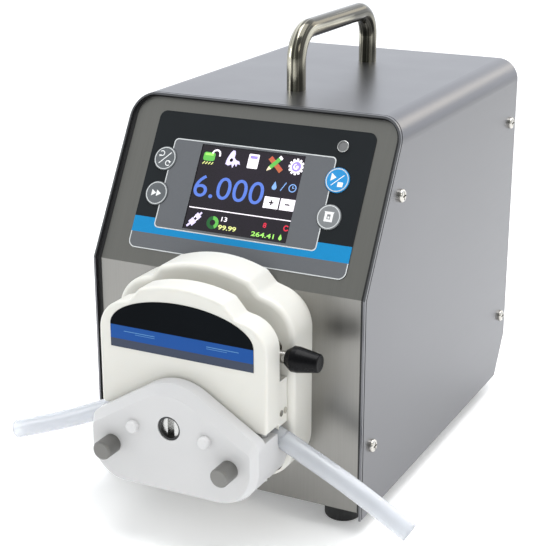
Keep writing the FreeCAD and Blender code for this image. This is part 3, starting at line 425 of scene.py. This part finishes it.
def band(x, y, inner, outer, start, end):
    """Part of a ring, from the start angle to the end angle in degrees."""
    return arc(x, y, outer, start, end) + arc(x, y, inner, end, start)


def block(x0, x1, y0, y1, radius=0.0):
    """A rectangle, with round corners if it has a radius."""
    if not radius:
        return [(x0, y0), (x1, y0), (x1, y1), (x0, y1)]
    outline = []
    corners = [(x1 - radius, y1 - radius, 0), (x0 + radius, y1 - radius, 90),
               (x0 + radius, y0 + radius, 180), (x1 - radius, y0 + radius, 270)]
    for x, y, start in corners:
        outline += arc(x, y, radius, start, start + 90, 8)
    return outline


def bar(x0, y0, x1, y1, width):
    """A straight stroke from one point to another."""
    along = Vector((x1 - x0, y1 - y0)).normalized() * (width / 2)
    return [(x0 - along.y, y0 + along.x), (x0 + along.y, y0 - along.x),
            (x1 + along.y, y1 - along.x), (x1 - along.y, y1 + along.x)]


def flat_mesh(curve):
    """The vertices and faces of a filled flat curve."""
    curve.dimensions = "2D"
    curve.fill_mode = "BOTH"
    holder = bpy.data.objects.new("flat", curve)
    mesh = bpy.data.meshes.new_from_object(holder)
    vertices = [tuple(vertex.co) for vertex in mesh.vertices]
    faces = [tuple(polygon.vertices) for polygon in mesh.polygons]
    bpy.data.objects.remove(holder)
    bpy.data.meshes.remove(mesh)
    return vertices, faces


def filled(outlines):
    """A thin solid of the area within the outlines, where an outline inside another is a hole."""
    curve = bpy.data.curves.new("outline", "CURVE")
    for outline in outlines:
        spline = curve.splines.new("POLY")
        spline.points.add(len(outline) - 1)
        for point, (x, y) in zip(spline.points, outline):
            point.co = (x, y, 0, 1)
        spline.use_cyclic_u = True
    curve.extrude = SOLID_LAYER / 2
    return flat_mesh(curve)


def figures(text, x0, x1, y0, y1, weight):
    """Thin solid numbers fitted to a rectangle, made bolder by a weight."""
    curve = bpy.data.curves.new("figures", "FONT")
    curve.body = text
    curve.size = 10.0
    curve.offset = weight
    curve.extrude = SOLID_LAYER / 2
    vertices, faces = flat_mesh(curve)
    low_x = min(vertex[0] for vertex in vertices)
    high_x = max(vertex[0] for vertex in vertices)
    low_y = min(vertex[1] for vertex in vertices)
    high_y = max(vertex[1] for vertex in vertices)
    wide = (x1 - x0) / (high_x - low_x)
    tall = (y1 - y0) / (high_y - low_y)
    placed = [(x0 + (x - low_x) * wide, y0 + (y - low_y) * tall, z) for x, y, z in vertices]
    return placed, faces


class Print:
    """One piece made of thin printed layers, each a closed solid with its own ink."""

    def __init__(self, name, place, base):
        self.name = name
        self.place = place
        self.base = base
        self.vertices = []
        self.faces = []
        self.inks = []
        self.face_inks = []

    def lay(self, flat, ink, layer=0):
        """Adds a flat solid, centred in its layer above the base."""
        vertices, faces = flat
        start = len(self.vertices)
        middle = self.base + LAYER * (layer + 0.5)
        self.vertices += [self.place(x, y, middle + z) for x, y, z in vertices]
        self.faces += [tuple(start + index for index in face) for face in faces]
        if ink not in self.inks:
            self.inks.append(ink)
        self.face_inks += [self.inks.index(ink)] * len(faces)

    def area(self, ink, *outlines, layer=0):
        self.lay(filled(outlines), ink, layer)

    def number(self, ink, text, x0, x1, y0, y1, weight=0.0):
        self.lay(figures(text, x0, x1, y0, y1, weight), ink)

    def finish(self, body, slot):
        """Makes the piece, which rides on a body. The slot argument is not used."""
        materials = [INKS[ink] for ink in self.inks]
        piece = mesh_object(self.name, self.vertices, self.faces, materials, smooth=False)
        for polygon, index in zip(piece.data.polygons, self.face_inks):
            polygon.material_index = index
        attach(piece, body)


# ---- the sloping panel's own coordinates: x across, y up the slope from the bend, z outwards

OVERLAY_SHEET = 0.4
OVERLAY_FOOT = 8.0
OUTWARD = -Vector(JOINTS["key_start_press"]["axis"])
UPSLOPE = OUTWARD.cross(Vector((1, 0, 0)))
UPSLOPE = UPSLOPE if UPSLOPE.z > 0 else -UPSLOPE


def panel_origin():
    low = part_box("control_overlay")[0]
    edge = Vector((0.0, low.y, low.z + OVERLAY_SHEET * MM * OUTWARD.z))
    return edge - UPSLOPE * OVERLAY_FOOT * MM - OUTWARD * OVERLAY_SHEET * MM


PANEL = panel_origin()


def on_panel(x, y, z):
    """A place on the panel, from millimetres across, up the slope and outwards."""
    return PANEL + Vector((x * MM, 0, 0)) + UPSLOPE * y * MM + OUTWARD * z * MM


LOWER_KEYS = 37.2
UPPER_KEYS = 55.7
KEY_HEIGHTS = {"key_prime": LOWER_KEYS, "key_menu": LOWER_KEYS,
               "key_direction": UPPER_KEYS, "key_start": UPPER_KEYS}
KEY_X = 47.9
KEY_HOLE = 6.5
KEY_FACE = 1.0

OVERLAY_CORNER = 4.0
OVERLAY_EDGE = 0.55
FRAME_HALF = 44.8
FRAME_LOW = 20.0
FRAME_HIGH = 66.8
FRAME_OUTER_CORNER = 2.3
FRAME_INNER_CORNER = 1.9
FRAME_LINE = 0.28
BAND_LOW = 16.3
BAND_HIGH = 24.5
WINDOW = block(-28.8, 28.8, 21.4, 65.6)


def key_centre(node):
    low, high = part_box(node)
    return (low.x + high.x) / 2 / MM, KEY_HEIGHTS[node]


def framed(grow, radius):
    """Rounded outline around the display, bitten by the four round keys and grown by a margin."""
    half = FRAME_HALF + grow
    low = FRAME_LOW - grow
    high = FRAME_HIGH + grow
    reach = math.sqrt(KEY_HOLE ** 2 - (KEY_X - half) ** 2)
    lean = math.degrees(math.atan2(reach, half - KEY_X))
    right = arc(half - radius, low + radius, radius, 270, 360, 8)
    for height in (LOWER_KEYS, UPPER_KEYS):
        right += arc(KEY_X, height, KEY_HOLE, 360 - lean, lean, 20)
    right += arc(half - radius, high - radius, radius, 0, 90, 8)
    return right + [(-x, y) for x, y in reversed(right)]


def overlay_foot(left, right, inset):
    """The overlay's foot below the blue band, inside its edge by a margin."""
    x0 = left + inset
    x1 = right - inset
    y0 = OVERLAY_FOOT + inset
    radius = OVERLAY_CORNER - inset
    return (arc(x0 + radius, y0 + radius, radius, 180, 270, 8)
            + arc(x1 - radius, y0 + radius, radius, 270, 360, 8)
            + [(x1, BAND_LOW), (x0, BAND_LOW)])


def overlay_print():
    low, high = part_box("control_overlay")
    left = low.x / MM
    right = high.x / MM
    art = Print("overlay_print", on_panel, OVERLAY_SHEET)
    art.area("line_white", overlay_foot(left, right, 0.0))
    art.area("panel_grey", overlay_foot(left, right, OVERLAY_EDGE), layer=1)
    notch = FRAME_HALF - 0.5
    shelf = FRAME_LOW + 1
    art.area("band_blue", [(left, BAND_LOW), (right, BAND_LOW), (right, BAND_HIGH), (notch, BAND_HIGH),
                           (notch, shelf), (-notch, shelf), (-notch, BAND_HIGH), (left, BAND_HIGH)])
    art.area("line_white", framed(FRAME_LINE, FRAME_OUTER_CORNER), WINDOW, layer=1)
    art.area("panel_grey", framed(-FRAME_LINE, FRAME_INNER_CORNER), WINDOW, layer=2)
    art.finish("case", "overlay")


overlay_print()


# ---- what the display shows: pictograms and numbers only

def lock(art):
    art.area("lit_green", block(-26.9, -20.4, 57.4, 61.9, 1.2))
    art.area("lit_lime", block(-26.2, -21.4, 60.2, 61.4, 0.5), layer=1)
    art.area("lit_white", arc(-20.0, 61.2, 2.6, 175, -25) + arc(-20.0, 61.2, 1.7, -25, 175), layer=1)
    for step in range(4):
        x = -26.6 + 1.6 * step
        art.area("lit_yellow", bar(x, 55.6, x + 1.1, 56.9, 0.5))


def tube_icon(art):
    outline = [(-13.9, 56.9), (-13.5, 59.6), (-12.3, 62.6), (-11.1, 64.3),
               (-9.9, 64.2), (-9.4, 62.6), (-9.5, 60.6), (-8.4, 59.5),
               (-6.4, 58.9), (-5.7, 57.2), (-7.2, 57.7), (-7.6, 56.0),
               (-8.7, 57.5), (-9.6, 55.2), (-10.4, 57.0), (-12.2, 56.2)]
    art.area("lit_lavender", outline)
    art.area("lit_white", bar(-12.6, 58.4, -10.8, 63.2, 0.8), layer=1)
    art.area("lit_dark", circle(-11.0, 59.2, 0.95, 24), layer=1)


def calculator(art):
    art.area("lit_white", block(-1.8, 4.0, 56.2, 63.6, 0.5))
    art.area("lit_violet", block(-0.9, 3.1, 61.2, 62.7, 0.2), layer=1)
    for row in range(3):
        for column in range(3):
            x = -0.9 + 1.45 * column
            y = 56.9 + 1.3 * row
            art.area("lit_lavender", block(x, x + 1.1, y, y + 0.8), layer=1)


def ruler_and_pencil(art):
    art.area("lit_brick", bar(9.9, 62.9, 17.2, 56.6, 2.5))
    for step in range(5):
        x = 10.8 + 1.4 * step
        art.area("lit_red", bar(x, 62.4 - 1.2 * step, x + 0.7, 63.2 - 1.2 * step, 0.35), layer=1)
    art.area("lit_green", bar(10.9, 57.9, 15.3, 62.8, 2.1), layer=2)
    art.area("lit_cream", [(9.2, 56.0), (11.7, 57.2), (10.1, 58.6)], layer=2)
    art.area("lit_white", bar(15.3, 62.8, 16.2, 63.8, 2.1), layer=2)


def gear(art):
    x = 24.8
    y = 59.9
    teeth = 12
    outline = []
    for tooth in range(teeth):
        start = 360 / teeth * tooth
        outline += arc(x, y, 4.2, start - 8, start + 8, 2)
        outline += arc(x, y, 3.3, start + 11, start + 19, 2)
    art.area("lit_white", outline)
    art.area("lit_violet", circle(x, y, 2.5, 32), layer=1)
    art.area("lit_white", band(x, y, 1.0, 1.6, 100, 300), layer=2)
    art.area("lit_lavender", circle(25.3, 59.7, 0.9, 20), layer=2)


def drop(x, y, size):
    """A droplet with its point upwards."""
    return arc(x, y, size, 150, 390, 18) + [(x, y + 2.4 * size)]


def buttons(art):
    """Two buttons side by side, with a plus and a minus."""
    art.area("lit_white", block(11.9, 20.0, 37.5, 43.3))
    art.area("lit_white", block(20.8, 28.6, 37.5, 43.3))
    art.area("lit_dark", block(14.7, 17.3, 40.1, 40.8), layer=1)
    art.area("lit_dark", block(15.65, 16.35, 39.15, 41.75), layer=2)
    art.area("lit_dark", block(23.4, 26.0, 40.1, 40.8), layer=1)


def plug_icon(art):
    art.area("lit_lavender", bar(-26.9, 22.9, -24.4, 25.5, 1.1))
    art.area("lit_lavender", bar(-25.3, 24.4, -23.3, 26.6, 3.3), layer=1)
    art.area("lit_white", bar(-24.0, 27.5, -22.9, 28.7, 0.6))
    art.area("lit_white", bar(-22.6, 26.1, -21.6, 27.2, 0.6))
    art.area("lit_lavender", bar(-22.6, 27.7, -21.1, 29.5, 3.1), layer=1)
    art.area("lit_lavender", bar(-21.3, 29.2, -20.1, 30.7, 1.0))


def gauge_icon(art):
    art.area("lit_dim_green", band(-13.0, 26.4, 1.5, 3.3, 95, 300))
    art.area("lit_green", band(-13.0, 26.4, 1.5, 3.3, -60, 95))


def flow_unit(art):
    """A drop, a stroke and a clock: an amount per time."""
    x = 25.4
    y = 49.0
    art.area("lit_sky", drop(15.6, 48.3, 1.3))
    art.area("lit_sky", bar(19.2, 47.0, 21.6, 51.4, 0.45))
    art.area("lit_sky", circle(x, y, 2.1, 32), circle(x, y, 1.6, 32))
    art.area("lit_sky", bar(x, 48.9, x, 50.2, 0.4))
    art.area("lit_sky", bar(25.3, y, 26.4, y, 0.4), layer=1)


SMALL_WEIGHT = 0.2
SMALL_NUMBERS = [
    ("lit_white", "13", -8.6, -5.4, 27.7, 30.0),
    ("lit_yellow", "99.99", -9.4, 0.6, 23.4, 25.8),
    ("lit_red", "8", 14.5, 16.3, 27.6, 30.1),
    ("lit_lime", "264.41", 9.2, 21.6, 22.7, 25.1),
]
ICONS = (lock, tube_icon, calculator, ruler_and_pencil, gear, buttons, plug_icon, gauge_icon, flow_unit)
DISPLAY_FACE = 0.02


def display_picture():
    art = Print("display_picture", on_panel, DISPLAY_FACE)
    for icon in ICONS:
        icon(art)
    art.number("lit_figure", "6.000", -28.0, 10.8, 38.5, 49.9)
    art.area("lit_white", block(-27.9, 28.8, 32.5, 33.0))
    for ink, text, x0, x1, y0, y1 in SMALL_NUMBERS:
        art.number(ink, text, x0, x1, y0, y1, weight=SMALL_WEIGHT)
    art.area("lit_red", band(27.0, 28.9, 0.9, 1.5, 40, 330))
    art.area("lit_lime", drop(25.0, 23.5, 0.9))
    art.finish("case", "display_glass")


display_picture()


# ---- pictograms on the keys, each riding on its key

def direction_icon(art, x, y):
    """Two turning arrows either side of a stroke."""
    art.area("icon_white", bar(x - 3.0, y - 3.0, x + 3.1, y + 3.3, 0.45))
    for side in (-1, 1):
        middle_x = x + 2.2 * side
        middle_y = y - 2.4 * side
        turn = 20 if side > 0 else 200
        art.area("icon_white", band(middle_x, middle_y, 1.05, 1.5, turn + 25, turn + 300))
        head = math.radians(turn + 25)
        tip_x = middle_x + 1.28 * math.cos(head)
        tip_y = middle_y + 1.28 * math.sin(head)
        arrow = [(tip_x - 0.8, tip_y), (tip_x + 0.8, tip_y + 0.1), (tip_x + 0.1 * side, tip_y - 1.0)]
        art.area("icon_white", arrow, layer=1)


def prime_icon(art, x, y):
    """Two arrowheads, for fast running."""
    for start in (-2.7, 0.1):
        art.area("icon_white", [(x + start, y - 1.7), (x + start + 2.6, y), (x + start, y + 1.7)])


def start_icon(art, x, y):
    """An arrowhead and a square either side of a stroke, for start and stop."""
    art.area("icon_white", [(x - 3.4, y - 0.8), (x - 0.6, y + 1.2), (x - 3.4, y + 3.2)])
    art.area("icon_white", bar(x - 2.6, y - 2.9, x + 3.2, y + 2.7, 0.4))
    art.area("icon_white", block(x + 0.6, x + 3.4, y - 3.3, y - 0.9, 0.3))


def menu_icon(art, x, y):
    body = [(x - 2.2, y - 2.4), (x + 2.2, y - 2.4), (x + 2.2, y + 1.9),
            (x + 2.6, y + 2.6), (x - 2.6, y + 2.6), (x - 2.2, y + 1.9)]
    art.area("icon_white", body, block(x - 0.9, x + 0.9, y - 1.2, y + 1.3))
    art.area("icon_white", block(x - 0.45, x + 0.45, y - 0.8, y + 0.2))


KEY_ICONS = {"key_prime": prime_icon, "key_direction": direction_icon,
             "key_menu": menu_icon, "key_start": start_icon}


def key_print(node):
    x, y = key_centre(node)
    art = Print(node + "_print", on_panel, KEY_FACE)
    art.area("line_white", circle(x, y, 5.85), circle(x, y, 5.4))
    KEY_ICONS[node](art, x, y)
    art.finish(node + "_body", "key_silver")


for key in KEY_ICONS:
    key_print(key)


# ---- printed bands of the head's label

LABEL_MARGIN = 0.05
GREY_TOP = 4.3
BLUE_TOP = 11.2
LINE_START = 14.0
LABEL_LINES = [(31.0, 8.4, 8.75), (24.8, 7.5, 7.75)]


def head_label():
    """The grey and blue bands at the foot of the label, and two groups of fine lines."""
    low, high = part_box("head_decal")
    foot = low.z
    front = low.y
    middle = (low.x + high.x) / 2

    def on_label(x, y, z):
        return Vector((middle + x * MM, front - z * MM, foot + y * MM))

    art = Print("head_label_print", on_label, 0.0)
    half = (high.x - low.x) / 2 / MM - LABEL_MARGIN
    art.area("decal_grey", block(-half, half, LABEL_MARGIN, GREY_TOP))
    art.area("decal_blue", block(-half, half, GREY_TOP, BLUE_TOP))
    for side in (-1, 1):
        for reach, low_y, high_y in LABEL_LINES:
            ends = sorted((LINE_START * side, reach * side))
            art.area("decal_line", block(*ends, low_y, high_y), layer=1)
    art.finish("upper_jaw", "decal")


head_label()


# ---- stage and light

FLOOR_HALF = 8.0
FLOOR_LOOK = dict(color=(0.93, 0.93, 0.93), rough=0.9, tint=0.004,
                  Emission_Color=(1, 1, 1, 1), Emission_Strength=0.2)


def add_floor():
    """A pale floor that glows a little, so that shadows on it stay light."""
    half = FLOOR_HALF
    corners = [(-half, -half, 0), (half, -half, 0), (half, half, 0), (-half, half, 0)]
    floor = mesh_object("floor", corners, [(0, 1, 2, 3)], [finish("floor_paper", **FLOOR_LOOK)])


WHITE = (1.0, 1.0, 1.0)
WARM = (1.0, 0.95, 0.88)
WARMER = (1.0, 0.90, 0.72)
SOFTBOXES = {
    "top_softbox": dict(place=(0.1, 0.05, 1.5), target=(0, 0, 0.1), size=1.2, power=18.0, color=WHITE),
    "left_softbox": dict(place=(-1.4, -0.7, 0.5), target=(0, -0.05, 0.1), size=0.6, power=3.0,
                         color=WHITE),
    "right_softbox": dict(place=(1.1, -1.0, 1.0), target=(0, -0.1, 0.1), size=0.5, power=2.6,
                          color=WARM),
    "rim_softbox": dict(place=(0.55, 1.35, 0.85), target=(0.07, 0, 0.2), size=0.6, power=2.0,
                        color=WARMER),
}


def add_softbox(name, place, target, size, power, color):
    lamp = bpy.data.lights.new(name, "AREA")
    lamp.shape = "RECTANGLE"
    lamp.size = size
    lamp.size_y = size
    lamp.energy = power
    lamp.color = color
    holder = bpy.data.objects.new(name, lamp)
    holder.location = place
    holder.rotation_mode = "QUATERNION"
    holder.rotation_quaternion = (Vector(target) - Vector(place)).to_track_quat("-Z", "Y")
    bpy.context.scene.collection.objects.link(holder)


STUDIO_FRONT = (0.36, 0.38, 0.36, 1)
STUDIO_BACK = (1.34, 1.38, 1.46, 1)
STUDIO_REACH = 0.9


def add_world():
    """Pale surroundings, darker in front of the object than behind it, and a white backdrop."""
    world = bpy.data.worlds.new("studio")
    world.use_nodes = True
    bpy.context.scene.world = world
    tree = world.node_tree
    surroundings = tree.nodes["Background"]
    place = tree.nodes.new("ShaderNodeTexCoord")
    parts = tree.nodes.new("ShaderNodeSeparateXYZ")
    ramp = tree.nodes.new("ShaderNodeValToRGB")
    ramp.color_ramp.elements[0].position = 0.0
    ramp.color_ramp.elements[0].color = STUDIO_FRONT
    ramp.color_ramp.elements[1].position = 1.0
    ramp.color_ramp.elements[1].color = STUDIO_BACK
    shift = tree.nodes.new("ShaderNodeMapRange")
    shift.inputs["From Min"].default_value = -STUDIO_REACH
    shift.inputs["From Max"].default_value = STUDIO_REACH
    tree.links.new(place.outputs["Generated"], parts.inputs["Vector"])
    tree.links.new(parts.outputs["Y"], shift.inputs["Value"])
    tree.links.new(shift.outputs["Result"], ramp.inputs["Fac"])
    tree.links.new(ramp.outputs["Color"], surroundings.inputs["Color"])
    surroundings.inputs["Strength"].default_value = 1.0
    backdrop = tree.nodes.new("ShaderNodeBackground")
    backdrop.inputs["Color"].default_value = (1, 1, 1, 1)
    path = tree.nodes.new("ShaderNodeLightPath")
    either = tree.nodes.new("ShaderNodeMixShader")
    tree.links.new(path.outputs["Is Camera Ray"], either.inputs["Fac"])
    tree.links.new(surroundings.outputs["Background"], either.inputs[1])
    tree.links.new(backdrop.outputs["Background"], either.inputs[2])
    tree.links.new(either.outputs["Shader"], tree.nodes["World Output"].inputs["Surface"])


add_floor()
add_world()
for softbox, setting in SOFTBOXES.items():
    add_softbox(softbox, **setting)
bpy.context.scene.view_settings.view_transform = "Standard"
